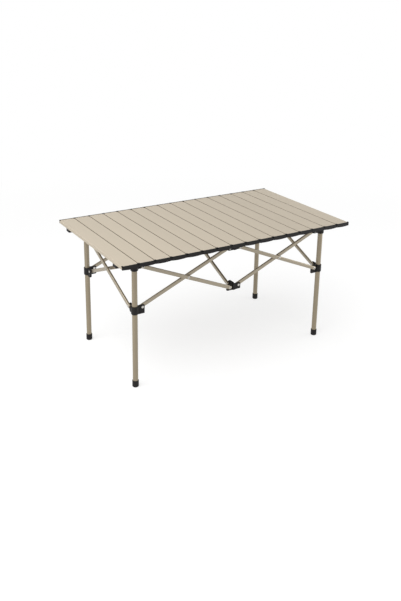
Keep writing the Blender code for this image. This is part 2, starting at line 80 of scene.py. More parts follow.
class Wire:
    """One socket of a node tree. Python's operators on it add the tree's Math nodes."""

    def __init__(self, tree, socket=None):
        self.tree = tree
        self.socket = socket

    def add(self, kind, settings=(), sockets=(), output=0):
        """Adds a node, makes its settings, fills or links its sockets, and returns one of its outputs."""
        node = self.tree.nodes.new(kind)
        for name, value in dict(settings).items():
            setattr(node, name, value)
        for key, value in dict(sockets).items():
            live = [socket for socket in node.inputs if socket.enabled]
            target = live[key] if isinstance(key, int) else next(s for s in live if s.name == key)
            for one in value if isinstance(value, list) else [value]:
                if isinstance(one, Wire):
                    self.tree.links.new(one.socket, target)
                else:
                    target.default_value = one
        live = [socket for socket in node.outputs if socket.enabled]
        if not live:
            return None
        found = live[output] if isinstance(output, int) else next(s for s in live if s.name == output)
        return Wire(self.tree, found)

    def maths(self, operation, *values):
        """A Math node on these values or links."""
        return self.add("ShaderNodeMath", {"operation": operation}, dict(enumerate(values)))

    def __add__(self, other):
        return self.maths("ADD", self, other)

    def __sub__(self, other):
        return self.maths("SUBTRACT", self, other)

    def __rsub__(self, other):
        return self.maths("SUBTRACT", other, self)

    def __mul__(self, other):
        return self.maths("MULTIPLY", self, other)

    def __truediv__(self, other):
        return self.maths("DIVIDE", self, other)

    def __gt__(self, other):
        return self.maths("GREATER_THAN", self, other)

    def __lt__(self, other):
        return self.maths("LESS_THAN", self, other)

    __radd__ = __add__
    __rmul__ = __mul__

    def clamped(self):
        """The value kept between 0 and 1."""
        return self.add("ShaderNodeClamp", {}, {"Value": self})

    def noise(self, place, scale, detail=2.0):
        """Soft cloudy noise between 0 and 1."""
        return self.add("ShaderNodeTexNoise", {}, {"Vector": place, "Scale": scale, "Detail": detail})

    def stretched(self, place, scale):
        """A position scaled on each axis, so that noise on it turns into streaks."""
        return self.add("ShaderNodeVectorMath", {"operation": "MULTIPLY"}, {0: place, 1: scale})

    def blend(self, factor, first, second):
        """A colour between two others."""
        colours = [value if isinstance(value, Wire) else (*value, 1) for value in (first, second)]
        settings = {"data_type": "RGBA"}
        return self.add("ShaderNodeMix", settings, {"Factor": factor, "A": colours[0], "B": colours[1]})


def new_finish(name):
    """An empty material, as its tree's wire and a function that ends the tree with a Principled shader."""
    material = bpy.data.materials.new(name)
    material.use_nodes = True
    material.node_tree.nodes.clear()
    wire = Wire(material.node_tree)

    def end(sockets, height=None, depth=0.0):
        """Makes the shader, with a Bump node if there is a height."""
        if height is not None:
            bump = {"Height": height, "Distance": depth, "Strength": BUMP_STRENGTH}
            sockets["Normal"] = wire.add("ShaderNodeBump", {}, bump)
        shader = wire.add("ShaderNodeBsdfPrincipled", {}, sockets)
        wire.add("ShaderNodeOutputMaterial", {}, {"Surface": shader})
        return material

    return wire, end


def tinted(colour, share):
    """A colour made lighter or darker by a share."""
    return tuple(channel * share for channel in colour)


def anodised(name, colour, streak, place_kind, place_settings, place_output):
    """Drawn and anodised aluminium: fine streaks along the metal, cloudy patches, a few rubbed places."""
    wire, end = new_finish(name)
    place = wire.add(place_kind, place_settings, {}, place_output)
    lines = wire.noise(wire.stretched(place, streak), 1.0, 3.0)
    patches = wire.noise(place, 14.0, 2.0)
    rubbed = ((wire.noise(wire.stretched(place, tinted(streak, 0.12)), 1.0, 4.0) - 0.62) * 6).clamped()
    tone = (lines * 0.55 + patches * 0.45).clamped()
    shade = wire.blend(tone, *(tinted(colour, share) for share in ANODISED_SHADES))
    shade = wire.blend(rubbed * 0.35, shade, tinted(colour, ANODISED_RUBBED))
    rough = lines * 0.10 + patches * 0.08 + (ANODISED_ROUGHNESS - 0.09) - rubbed * 0.05
    sockets = {"Base Color": shade, "Metallic": ANODISED_METALLIC, "Roughness": rough}
    return end(sockets, lines, ANODISED_BUMP)


def loose(name, mesh):
    """A new object that holds a mesh."""
    obj = bpy.data.objects.new(name, mesh)
    bpy.context.scene.collection.objects.link(obj)
    return obj


def baked(obj):
    """The plain mesh that an object's modifiers give. The object itself goes."""
    graph = bpy.context.evaluated_depsgraph_get()
    final = obj.evaluated_get(graph)
    mesh = bpy.data.meshes.new_from_object(final, preserve_all_data_layers=True, depsgraph=graph)
    bpy.data.objects.remove(obj)
    return mesh


def plain(name, shape):
    """A bmesh turned into a mesh with its faces outwards."""
    bmesh.ops.remove_doubles(shape, verts=shape.verts, dist=WELD_DISTANCE)
    bmesh.ops.recalc_face_normals(shape, faces=shape.faces)
    mesh = bpy.data.meshes.new(name)
    shape.to_mesh(mesh)
    shape.free()
    return mesh


def smoothed(mesh):
    """Shades a mesh smooth up to an angle, with its flat faces kept flat."""
    mesh.shade_smooth()
    mesh.set_sharp_from_angle(angle=math.radians(SMOOTH_ANGLE))
    obj = loose(mesh.name, mesh)
    even = obj.modifiers.new("even", "WEIGHTED_NORMAL")
    even.keep_sharp = True
    return baked(obj)


def add_piece(name, mesh, material, body, slot, *stands_for):
    """Puts a finished mesh in the scene as a piece that rides on a body."""
    mesh.materials.clear()
    mesh.materials.append(material)
    obj = loose(name, mesh)
    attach(obj, body)
    if stands_for:
        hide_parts(*stands_for)


def turned(profile, steps=ROUND_STEPS, closed=False):
    """A shape of revolution about Z from a profile of (radius, height)."""
    shape = bmesh.new()
    rings = []
    for radius, height in profile:
        count = steps if radius else 1
        angles = [math.tau * i / steps for i in range(count)]
        rings.append([shape.verts.new((radius * math.cos(a), radius * math.sin(a), height)) for a in angles])
    pairs = list(zip(rings, rings[1:]))
    if closed:
        pairs.append((rings[-1], rings[0]))
    for lower, upper in pairs:
        for i in range(steps):
            corners = [lower[i % len(lower)], lower[(i + 1) % len(lower)]]
            corners += [upper[(i + 1) % len(upper)], upper[i % len(upper)]]
            shape.faces.new(list(dict.fromkeys(corners)))
    return shape


def arc(centre, radius, start, end, steps):
    """Points of an arc in a profile or outline, its angles in degrees."""
    angles = [math.radians(start + (end - start) * i / steps) for i in range(steps + 1)]
    return [(centre[0] + radius * math.cos(a), centre[1] + radius * math.sin(a)) for a in angles]


def rod(radius, low, high, steps=ROUND_STEPS):
    """A plain round rod about Z between two heights."""
    return turned([(0, low), (radius, low), (radius, high), (0, high)], steps)


def drum(radius, low, high, lower, upper, upper_steps):
    """A solid drum about Z, its lower and upper edges rounded."""
    profile = [(0, low)] + arc((radius - lower, low + lower), lower, -90, 0, EDGE_STEPS)
    profile += arc((radius - upper, high - upper), upper, 0, 90, upper_steps) + [(0, high)]
    return turned(profile)


def facing(direction):
    """The turn that takes Z to a direction."""
    return Vector((0, 0, 1)).rotation_difference(Vector(direction)).to_matrix().to_4x4()


leg_metal = anodised("champagne leg tube", LEG_METAL, LEG_STREAK, "ShaderNodeTexCoord", {}, "Object")

bright_wire, end_bright = new_finish("bright rivet")
bright_place = bright_wire.add("ShaderNodeTexCoord", {}, {}, "Object")
bright_marks = bright_wire.noise(bright_place, 700.0, 3.0)
# Painted shade: the marked middle of each rivet head is painted near-black and less metallic, standing for
# the shade inside the rivet's bore.
bright_hollow_painted_shade = bright_wire.add("ShaderNodeAttribute", {"attribute_name": "hollow"}, {}, "Fac")
bright_metal = end_bright(
    {
        "Base Color": bright_wire.blend(
            bright_hollow_painted_shade,
            bright_wire.blend(bright_marks, RIVET_DULL, RIVET_BRIGHT),
            RIVET_SHADOW,
        ),
        "Metallic": 0.9 - bright_hollow_painted_shade * 0.7,
        "Roughness": bright_marks * 0.16 + 0.24,
    },
    bright_marks,
    RIVET_BUMP,
)


def corner_name(row, end):
    """The name of one of the four corners."""
    return f"{row}_{end}"


def corner_centre(row, end):
    """The middle of a leg, on the floor."""
    low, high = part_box(f"leg_{corner_name(row, end)}")
    return Vector(((low[0] + high[0]) / 2, (low[1] + high[1]) / 2, 0))


def pin_shape():
    """A hollow rivet's head about Z, with its skirt sunk into the tube's wall."""
    dome = [(PIN_HOLLOW, -PIN_PROUD), (PIN_HOLLOW, PIN_PROUD * 0.7)]
    dome += [(PIN_HOLLOW * 1.3, PIN_PROUD), (PIN_RADIUS * 0.75, PIN_PROUD * 0.9)]
    dome += [(PIN_RADIUS, PIN_PROUD * 0.2), (PIN_RADIUS, -PIN_PROUD)]
    return turned([(0, -PIN_PROUD)] + dome + [(0, -PIN_PROUD * 1.5)], PIN_STEPS)


for row in ROWS:
    for end, x_side in ENDS.items():
        corner = corner_name(row, end)
        low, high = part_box(f"leg_{corner}")
        inner = LEG_RADIUS - LEG_WALL
        profile = [(LEG_RADIUS, high[2]), (LEG_RADIUS, low[2]), (inner, low[2]), (inner, high[2])]
        tube = turned(profile, LEG_STEPS, closed=True)
        tube.transform(Matrix.Translation(corner_centre(row, end)))
        mesh = smoothed(plain("leg", tube))
        add_piece(f"leg_tube_{corner}", mesh, leg_metal, f"leg_{corner}", "leg_metal", f"leg_{corner}")
        pin = pin_shape()
        centre = corner_centre(row, end) + Vector((-x_side * LEG_RADIUS, 0, PIN_HEIGHT))
        pin.transform(Matrix.Translation(centre) @ facing((-x_side, 0, 0)))
        mesh = smoothed(plain("pin", pin))
        add_piece(f"leg_pin_{corner}", mesh, bright_metal, f"leg_{corner}", "bar_metal")

# Feet
# A black nylon cup is pushed on to each leg's lower end. Its rim is a little rounded, its bottom edge
# more so, a fine groove runs round it, and its sole has moulded rings for grip.

FOOT_RADIUS = 0.0115
FOOT_HEIGHT = 0.0245
FOOT_ROUNDING = 0.0034
FOOT_RIM = 0.0006
FOOT_GROOVE = 0.0003
FOOT_GROOVE_HEIGHT = 0.0205
SOLE_RINGS = (0.0035, 0.0062)
SOLE_RING_WIDTH = 0.0008
SOLE_RING_DEPTH = 0.0005
PLASTIC = (0.013, 0.012, 0.012)
PLASTIC_SHADES = (0.8, 1.3)
PLASTIC_RUBBED = 1.9
PLASTIC_BUMP = 0.00005

plastic_wire, end_plastic = new_finish("black moulded plastic")
plastic_place = plastic_wire.add("ShaderNodeTexCoord", {}, {}, "Object")
plastic_grain = plastic_wire.noise(plastic_place, 2600.0, 2.0)
plastic_cloud = plastic_wire.noise(plastic_place, 45.0, 3.0)
plastic_rubbed = ((plastic_wire.noise(plastic_place, 160.0, 4.0) - 0.60) * 5).clamped()
black_plastic = end_plastic(
    {
        "Base Color": plastic_wire.blend(
            plastic_rubbed * 0.5,
            plastic_wire.blend(plastic_cloud, *(tinted(PLASTIC, share) for share in PLASTIC_SHADES)),
            tinted(PLASTIC, PLASTIC_RUBBED),
        ),
        "Roughness": plastic_grain * 0.12 + plastic_cloud * 0.10 + 0.46 - plastic_rubbed * 0.06,
        "Specular IOR Level": 0.22,
    },
    plastic_grain,
    PLASTIC_BUMP,
)


def foot_shape():
    """The cup about Z, from the middle of its sole out, up and back down its bore."""
    sole = [(0, 0)]
    for radius in SOLE_RINGS:
        sole += [(radius, 0), (radius, SOLE_RING_DEPTH)]
        sole += [(radius + SOLE_RING_WIDTH, SOLE_RING_DEPTH), (radius + SOLE_RING_WIDTH, 0)]
    sole += arc((FOOT_RADIUS - FOOT_ROUNDING, FOOT_ROUNDING), FOOT_ROUNDING, -90, 0, 6)
    groove = [(FOOT_RADIUS, FOOT_GROOVE_HEIGHT)]
    groove += [(FOOT_RADIUS - FOOT_GROOVE, FOOT_GROOVE_HEIGHT + FOOT_GROOVE)]
    groove += [(FOOT_RADIUS - FOOT_GROOVE, FOOT_GROOVE_HEIGHT + 3 * FOOT_GROOVE)]
    groove += [(FOOT_RADIUS, FOOT_GROOVE_HEIGHT + 4 * FOOT_GROOVE)]
    rim = arc((FOOT_RADIUS - FOOT_RIM, FOOT_HEIGHT - FOOT_RIM), FOOT_RIM, 0, 90, 3)
    bore = [(LEG_RADIUS, FOOT_HEIGHT), (LEG_RADIUS, FOOT_ROUNDING), (0, FOOT_ROUNDING)]
    return turned(sole + groove + rim + bore)


for row in ROWS:
    for end in ENDS:
        corner = corner_name(row, end)
        foot = foot_shape()
        foot.transform(Matrix.Translation(corner_centre(row, end)))
        mesh = smoothed(plain("foot", foot))
        node = f"foot_{corner}"
        add_piece(f"foot_cup_{corner}", mesh, black_plastic, f"leg_{corner}", "black_plastic", node)

# Sliders
# A black nylon sleeve runs up and down each leg as the frame folds. It is moulded in one piece with two
# flat lugs at right angles, and the lower ends of two bars are riveted to the lugs.

UPPER_PIVOT = 0.443
LOWER_PIVOT = 0.295
PIVOT_REACH = 0.028
LUG_REACH = 0.036
LUG_THICKNESS = 0.006
LUG_NEAR = 0.008
LUG_FAR = 0.0235
LUG_CORNER = 0.0022
LUG_CUT = 0.0015
CROSS_LUG_CUT = 0.0050
LUG_EDGE = 0.0006
RIVET_HOLE = 0.0026
CUT_REACH = 0.01
SLEEVE_RADIUS = 0.0125
SLEEVE_BORE = 0.010
SLEEVE_LENGTH = 0.0295
SLEEVE_ROUNDING = 0.0035
BORE_REACH = 0.04


def rounded(outline, radius, steps=4):
    """An outline with its corners rounded, each by less than half of a side."""
    result = []
    for i, corner in enumerate(outline):
        before, corner, after = (Vector(outline[(i + step) % len(outline)]) for step in (-1, 0, 1))
        reach = min(radius, (before - corner).length / 2.1, (after - corner).length / 2.1)
        start = corner + (before - corner).normalized() * reach
        end = corner + (after - corner).normalized() * reach
        for step in range(steps + 1):
            t = step / steps
            result.append(start * (1 - t) ** 2 + corner * (2 * t * (1 - t)) + end * t**2)
    return result


def slab(outline, thickness, edge, segments=2):
    """A plate about the XY plane with rounded edges."""
    shape = bmesh.new()
    lower = [shape.verts.new((x, y, -thickness / 2)) for x, y in outline]
    face = shape.faces.new(lower)
    sides = bmesh.ops.extrude_face_region(shape, geom=[face])["geom"]
    upper = [item for item in sides if isinstance(item, bmesh.types.BMVert)]
    bmesh.ops.translate(shape, verts=upper, vec=(0, 0, thickness))
    rims = [line for line in shape.edges if line.verts[0].co.z == line.verts[1].co.z]
    bmesh.ops.bevel(shape, geom=rims, offset=edge, segments=segments, profile=0.5, affect="EDGES")
    return shape


def box(low, high, edge):
    """A block between two corners with rounded edges."""
    size = Vector(high) - Vector(low)
    shape = bmesh.new()
    bmesh.ops.create_cube(shape, size=1, matrix=Matrix.Diagonal((*size, 1)))
    bmesh.ops.bevel(shape, geom=shape.edges, offset=edge, segments=2, profile=0.5, affect="EDGES")
    bmesh.ops.translate(shape, verts=shape.verts, vec=(Vector(low) + Vector(high)) / 2)
    return shape


def moulded(name, shells, cuts):
    """One closed mesh of overlapping shells, with the cuts taken out of it."""
    obj = loose(name, plain(name, shells[0]))
    tools = []
    for operation, shapes in (("UNION", shells[1:]), ("DIFFERENCE", cuts)):
        for shape in shapes:
            tools.append(loose(f"{name} tool", plain(name, shape)))
            step = obj.modifiers.new(operation, "BOOLEAN")
            step.operation = operation
            step.solver = "EXACT"
            step.object = tools[-1]
    mesh = baked(obj)
    for tool in tools:
        bpy.data.objects.remove(tool)
    return smoothed(mesh)


def upright(direction, height=0.0):
    """Stands a plate drawn in XY up in a vertical plane, its X along a level direction."""
    along = Vector((*direction, 0))
    up = Vector((0, 0, 1))
    turn = Matrix((along, up, along.cross(up))).transposed().to_4x4()
    return Matrix.Translation((0, 0, height)) @ turn


def lug(direction, outline, height=0.0):
    """A lug from the Z axis along a level direction."""
    shape = slab(rounded(outline, LUG_CORNER), LUG_THICKNESS, LUG_EDGE)
    shape.transform(upright(direction, height))
    return shape


def lug_outline(reach, below, above, near, far):
    """A lug's outline about its pivot, from the axis out, with its two outer corners cut off."""
    points = [(0, -below), (reach - near, -below), (reach, -below + near)]
    return points + [(reach, above - far), (reach - far, above), (0, above)]


def rivet_cut(direction, reach, height=0.0):
    """The hole of a rivet through a lug."""
    shape = rod(RIVET_HOLE, -CUT_REACH, CUT_REACH, RIVET_STEPS)
    shape.transform(upright(direction, height) @ Matrix.Translation((reach, 0, 0)))
    return shape


def slider_shape(x_side, y_side):
    """A slider about its leg's axis, at its pivots' height."""
    sleeve = drum(SLEEVE_RADIUS, LUG_NEAR - SLEEVE_LENGTH, LUG_NEAR, SLEEVE_ROUNDING, LUG_EDGE, 2)
    row_lug = lug_outline(LUG_REACH, LUG_FAR, LUG_NEAR, LUG_CUT, LUG_CUT)
    cross_lug = lug_outline(LUG_REACH, LUG_FAR, LUG_NEAR, CROSS_LUG_CUT, LUG_CUT)
    inward_x, inward_y = (-x_side, 0), (0, -y_side)
    bore = rod(SLEEVE_BORE, -BORE_REACH, BORE_REACH)
    cuts = [bore, rivet_cut(inward_x, PIVOT_REACH), rivet_cut(inward_y, PIVOT_REACH)]
    return moulded("slider", [sleeve, lug(inward_x, row_lug), lug(inward_y, cross_lug)], cuts)


for row, y_side in ROWS.items():
    for end, x_side in ENDS.items():
        corner = corner_name(row, end)
        mesh = slider_shape(x_side, y_side)
        mesh.transform(Matrix.Translation(corner_centre(row, end) + Vector((0, 0, LOWER_PIVOT))))
        node = f"slider_{corner}"
        add_piece(f"slider_sleeve_{corner}", mesh, black_plastic, node, "black_plastic", node)

# Top hubs
# A black nylon bell holds each leg's upper end. Two lugs on it carry the upper ends of two bars, and a
# flat arm reaches out under the end of the slats, which rest on it.

SEAT = 0.4717
BELL_RADIUS = 0.013
BELL_LENGTH = 0.041
BELL_ROUNDING = 0.0035
BELL_EDGE = 0.0012
BELL_ROOF = 0.0091
HUB_LUG_RISE = 0.0205
ARM_REACH = 0.0725
ARM_WIDTH = 0.030
ARM_HEIGHT = 0.015
ARM_CORNER = 0.006
ARM_EDGE = 0.0012
SOCKET_BOTTOM = 0.4


def top_hub_shape(x_side, y_side):
    """A top hub about its leg's axis, in the row's heights."""
    bell = drum(BELL_RADIUS, SEAT - BELL_LENGTH, SEAT, BELL_ROUNDING, BELL_EDGE, 3)
    outline = lug_outline(LUG_REACH, LUG_NEAR, HUB_LUG_RISE, LUG_CUT, LUG_CUT)
    inward_x, inward_y = (-x_side, 0), (0, -y_side)
    half = ARM_WIDTH / 2
    plan = [(0, -half), (x_side * ARM_REACH, -half), (x_side * ARM_REACH, half), (0, half)]
    arm = slab(rounded(plan, ARM_CORNER), ARM_HEIGHT, ARM_EDGE, 3)
    arm.transform(Matrix.Translation((0, 0, SEAT - ARM_HEIGHT / 2)))
    shells = [bell, lug(inward_x, outline, UPPER_PIVOT), lug(inward_y, outline, UPPER_PIVOT), arm]
    cuts = [rod(LEG_RADIUS, SOCKET_BOTTOM, SEAT - BELL_ROOF)]
    cuts += [rivet_cut(inward, PIVOT_REACH, UPPER_PIVOT) for inward in (inward_x, inward_y)]
    return moulded("top hub", shells, cuts)


for row, y_side in ROWS.items():
    for end, x_side in ENDS.items():
        corner = corner_name(row, end)
        mesh = top_hub_shape(x_side, y_side)
        mesh.transform(Matrix.Translation(corner_centre(row, end)))
        node = f"top_hub_{corner}"
        add_piece(f"top_hub_bell_{corner}", mesh, black_plastic, f"leg_{corner}", "black_plastic", node)

# Centre hubs
# Two black nylon hubs in the middle of each row, one above the other, join the row's bars and the pair
# that crosses from front to back. The upper hub ends in a small pad, on which the middle slats rest.

HUB_REACH = 0.021
HUB_LUG_REACH = 0.029
HUB_CORE = 0.012
HUB_PAD = 0.026
HUB_PAD_HEIGHT = 0.008
HUB_PAD_EDGE = 0.0012
LOWER_HUB = {"below": 0.0145, "above": 0.0080, "cross_above": 0.0125, "cut": 0.0015, "cross_cut": 0.0095}
UPPER_HUB = {"below": 0.0085, "above": 0.0287, "cross_above": 0.0287, "cut": 0.0025, "cross_cut": 0.0015}


def centre_hub_shape(y_side, below, above, cross_above, cut, cross_cut, pad):
    """A centre hub about the middle of its row, at its pivots' height."""
    row_lug = lug_outline(HUB_LUG_REACH, below, above, cut, LUG_CUT)
    cross_lug = lug_outline(LUG_REACH, below, cross_above, cut, cross_cut)
    half = HUB_CORE / 2
    inward = (0, -y_side)
    shells = [box((-half, -half, -below), (half, half, above), LUG_EDGE)]
    shells += [lug((-1, 0), row_lug), lug((1, 0), row_lug), lug(inward, cross_lug)]
    if pad:
        half = HUB_PAD / 2
        shells.append(box((-half, -half, above - HUB_PAD_HEIGHT), (half, half, above), HUB_PAD_EDGE))
    cuts = [rivet_cut((-1, 0), HUB_REACH), rivet_cut((1, 0), HUB_REACH), rivet_cut(inward, PIVOT_REACH)]
    return moulded("centre hub", shells, cuts)


for row, y_side in ROWS.items():
    for level, pivot, sizes in (("lower", LOWER_PIVOT, LOWER_HUB), ("upper", UPPER_PIVOT, UPPER_HUB)):
        node = f"hub_{level}_{row}"
        mesh = centre_hub_shape(y_side, **sizes, pad=level == "upper")
        mesh.transform(Matrix.Translation((0, corner_centre(row, "left").y, pivot)))
        add_piece(f"centre_{node}", mesh, black_plastic, node, "black_plastic", node)

# Bars
# Fourteen flat tubes of extruded aluminium in seven crossed pairs, anodised a shade lighter than the
# legs. Their edges are well rounded, and their open ends are cut round.

BAR_HEIGHT = 0.0135
BAR_THICKNESS = 0.008
BAR_WALL = 0.0011
BAR_END = 0.0075
BAR_CORNER = 0.00585
BAR_EDGE = 0.0027
BAR_INNER_EDGE = 0.0005
BAR_OFFSET = 0.0073
COLUMNS = {"left": -1, "centre": 0, "right": 1}
SLOPES = {"falling": UPPER_PIVOT, "rising": LOWER_PIVOT}
BAR_METAL = (0.385, 0.335, 0.254)
BAR_STREAK = (14, 1500, 1500)

grain_name = {"attribute_name": "grain"}
bar_metal = anodised("champagne bar tube", BAR_METAL, BAR_STREAK, "ShaderNodeAttribute", grain_name, "Vector")


def bar_shape(length):
    """A bar along X, thick along Y, with its own coordinates kept as its grain."""
    half = length / 2 + BAR_END
    rise = BAR_HEIGHT / 2
    side_view = [(-half, -rise), (half, -rise), (half, rise), (-half, rise)]
    tube = slab(rounded(side_view, BAR_CORNER, 6), BAR_THICKNESS, BAR_EDGE, 4)
    tube.transform(upright((1, 0)))
    inner_y = BAR_THICKNESS / 2 - BAR_WALL
    inner_z = BAR_HEIGHT / 2 - BAR_WALL
    hollow = box((-length, -inner_y, -inner_z), (length, inner_y, inner_z), BAR_INNER_EDGE)
    mesh = moulded("bar", [tube], [hollow])
    grain = mesh.attributes.new("grain", "FLOAT_VECTOR", "POINT")
    for vertex, place in zip(mesh.vertices, grain.data):
        place.vector = vertex.co
    return mesh


def bar_place(start, end, outer):
    """Lays a bar from pivot to pivot, on the outer side of its lugs."""
    along = (end - start).normalized()
    to_lug = -Vector(outer)
    axes = Matrix((along, to_lug, along.cross(to_lug))).transposed().to_4x4()
    return Matrix.Translation((start + end) / 2 - BAR_OFFSET * to_lug) @ axes


bars = {}
crossings = {}
for row in ROWS:
    leg = corner_centre(row, "right")
    spans = {"left": (PIVOT_REACH - leg.x, -HUB_REACH), "right": (HUB_REACH, leg.x - PIVOT_REACH)}
    for end, (first, last) in spans.items():
        for slope, height in SLOPES.items():
            start = Vector((first, leg.y, height))
            stop = Vector((last, leg.y, UPPER_PIVOT + LOWER_PIVOT - height))
            outer = (0, -1, 0) if slope == "falling" else (0, 1, 0)
            bars[f"bar_{row}_{end}_{slope}"] = bar_place(start, stop, outer)
        crossings[f"{row}_{end}"] = Matrix.Translation((start + stop) / 2) @ facing((0, 1, 0))
leg = corner_centre("back", "right")
for column, x_side in COLUMNS.items():
    for slope, height in SLOPES.items():
        start = Vector((x_side * leg.x, PIVOT_REACH - leg.y, height))
        stop = Vector((x_side * leg.x, leg.y - PIVOT_REACH, UPPER_PIVOT + LOWER_PIVOT - height))
        outer = (1, 0, 0) if slope == "falling" else (-1, 0, 0)
        bars[f"bar_{column}_{slope}"] = bar_place(start, stop, outer)
    crossings[column] = Matrix.Translation((start + stop) / 2) @ facing((1, 0, 0))
bar_length = (stop - start).length
one_bar = bar_shape(bar_length)
for node, place in bars.items():
    mesh = one_bar.copy()
    mesh.transform(place)
    add_piece(f"tube_{node}", mesh, bar_metal, node, "bar_metal", node)

# Bar rivets
# Each bar turns on a hollow aluminium rivet at either end, through the bar and its lug: a low domed head
# on the bar, whose shallow dished hollow is painted near-black as painted shade, and a flat tail behind the
# lug.

RIVET_RADIUS = 0.0025
RIVET_HEAD_RADIUS = 0.0046
RIVET_HEAD_HEIGHT = 0.0012
RIVET_HOLLOW = 0.0020
RIVET_COLLAR = 0.00225
TAIL_START = 0.0106
TAIL_HOLLOW = 0.0004
BEVEL_ANGLE = 40


def new_tree(name, sizes):
    """An empty Geometry Nodes tree with named sizes: its wire, its sizes' wires, a function that ends it."""
    tree = bpy.data.node_groups.new(name, "GeometryNodeTree")
    tree.is_modifier = True
    for size in sizes:
        tree.interface.new_socket(size, in_out="INPUT", socket_type="NodeSocketFloat")
    tree.interface.new_socket("Geometry", in_out="OUTPUT", socket_type="NodeSocketGeometry")
    start = tree.nodes.new("NodeGroupInput")
    wire = Wire(tree)

    def end(geometry, material):
        """Realises the instances, gives them their material and ends the tree."""
        solid = wire.add("GeometryNodeRealizeInstances", {}, {0: geometry})
        solid = wire.add("GeometryNodeSetMaterial", {}, {"Geometry": solid, "Material": material})
        wire.add("NodeGroupOutput", {}, {0: solid})
        return tree

    return wire, {socket.name: Wire(tree, socket) for socket in start.outputs if socket.name}, end


def grown(tree, sizes, edge=0.0):
    """The plain mesh that a tree gives at these sizes, with its edges rounded if an edge is given."""
    obj = loose(tree.name, bpy.data.meshes.new(tree.name))
    step = obj.modifiers.new(tree.name, "NODES")
    step.node_group = tree
    for item in tree.interface.items_tree:
        if item.in_out == "INPUT":
            step[item.identifier] = sizes[item.name]
    if edge:
        rounding = obj.modifiers.new("edges", "BEVEL")
        rounding.width = edge
        rounding.segments = 2
        rounding.limit_method = "ANGLE"
        rounding.angle_limit = math.radians(BEVEL_ANGLE)
    return smoothed(baked(obj))


def rivet_disc(wire, radius, hollow, low, high, outward):
    """A head or tail between two heights, its outer face domed, with a dished hollow in its middle."""
    sockets = {"Vertices": RIVET_STEPS, "Side Segments": 2, "Fill Segments": 6}
    sockets.update({"Radius": radius, "Depth": high - low})
    disc = wire.add("GeometryNodeMeshCylinder", {"fill_type": "NGON"}, sockets, "Mesh")
    place = wire.add("GeometryNodeInputPosition")
    flat = wire.add("ShaderNodeVectorMath", {"operation": "MULTIPLY"}, {0: place, 1: (1, 1, 0)})
    reach = wire.add("ShaderNodeVectorMath", {"operation": "LENGTH"}, {0: flat}, "Value")
    height = wire.add("ShaderNodeSeparateXYZ", {}, {0: place}, "Z")
    outer = (height * outward) > 0.0
    share = reach / radius
    drop = share * share * share * (high - low) * 0.7
    dish = (1 - reach / hollow).clamped() * (high - low) * 0.6
    shift = (drop + dish) * outer * (-outward)
    offset = wire.add("ShaderNodeCombineXYZ", {}, {"Z": shift + (high + low) * 0.5})
    disc = wire.add("GeometryNodeSetPosition", {}, {"Geometry": disc, "Offset": offset})
    # The middle of the dish is marked, and the rivet finish paints it near-black as painted shade.
    inside = (hollow * 0.9 - reach) > 0.0
    return wire.add(
        "GeometryNodeStoreNamedAttribute",
        {"data_type": "FLOAT", "domain": "POINT"},
        {"Geometry": disc, "Name": "hollow", "Value": inside * outer},
    )


def shank(wire, radius, low, high):
    """The round body of a rivet between two heights."""
    sockets = {"Vertices": RIVET_STEPS, "Radius": radius, "Depth": high - low}
    body = wire.add("GeometryNodeMeshCylinder", {}, sockets, "Mesh")
    offset = wire.add("ShaderNodeCombineXYZ", {}, {"Z": (high + low) * 0.5})
    return wire.add("GeometryNodeSetPosition", {}, {"Geometry": body, "Offset": offset})


def joined(wire, parts):
    """Several geometries as one."""
    return wire.add("GeometryNodeJoinGeometry", {}, {0: parts})


END_RIVET_SIZES = {
    "Head Radius": RIVET_HEAD_RADIUS,
    "Head Height": RIVET_HEAD_HEIGHT,
    "Shank Radius": RIVET_RADIUS,
    "Collar Radius": RIVET_COLLAR,
    "Collar Half": BAR_THICKNESS / 4,
    "Low Face": -BAR_THICKNESS / 2,
    "High Face": TAIL_START,
    "Low Hollow": RIVET_HOLLOW,
    "High Hollow": TAIL_HOLLOW,
}
wire, size, end_tree = new_tree("Rivet", END_RIVET_SIZES)
low, high = size["Low Face"], size["High Face"]
head = size["Head Height"]
rivet_parts = [
    rivet_disc(wire, size["Head Radius"], size["Low Hollow"], low - head, low, -1),
    rivet_disc(wire, size["Head Radius"], size["High Hollow"], high, high + head, 1),
    shank(wire, size["Shank Radius"], low, high),
    shank(wire, size["Collar Radius"], 0 - size["Collar Half"], size["Collar Half"]),
]
rivet_tree = end_tree(joined(wire, rivet_parts), bright_metal)
end_rivet = grown(rivet_tree, END_RIVET_SIZES)
for node, place in bars.items():
    shape = bmesh.new()
    for side in ENDS.values():
        mesh = end_rivet.copy()
        mesh.transform(place @ Matrix.Translation((side * bar_length / 2, 0, 0)) @ facing((0, 1, 0)))
        shape.from_mesh(mesh)
    pair = bpy.data.meshes.new("rivets")
    shape.to_mesh(pair)
    shape.free()
    add_piece(f"rivets_{node}", smoothed(pair), bright_metal, node, "bar_metal")

# Crossing rivets
# Where two bars cross, a longer rivet with a head on each side holds them, with a round spacer between.
# It rides on the falling bar of the pair.

SPACER_RADIUS = 0.006
CROSSING_FACE = 0.0116

CROSSING_RIVET_SIZES = {
    **END_RIVET_SIZES,
    "Collar Radius": SPACER_RADIUS,
    "Collar Half": LUG_THICKNESS / 2,
    "Low Face": -CROSSING_FACE,
    "High Face": CROSSING_FACE,
    "High Hollow": RIVET_HOLLOW,
}
crossing_rivet = grown(rivet_tree, CROSSING_RIVET_SIZES)
for where, place in crossings.items():
    mesh = crossing_rivet.copy()
    mesh.transform(place)
    add_piece(f"crossing_{where}", mesh, bright_metal, f"bar_{where}_falling", "bar_metal", f"rivet_{where}")

# Slats
# The top is sixteen aluminium channels side by side, with a warm satin coating and two ribs beneath.
# Their long edges are rounded, and a small round notch at each corner leaves room for the caps.

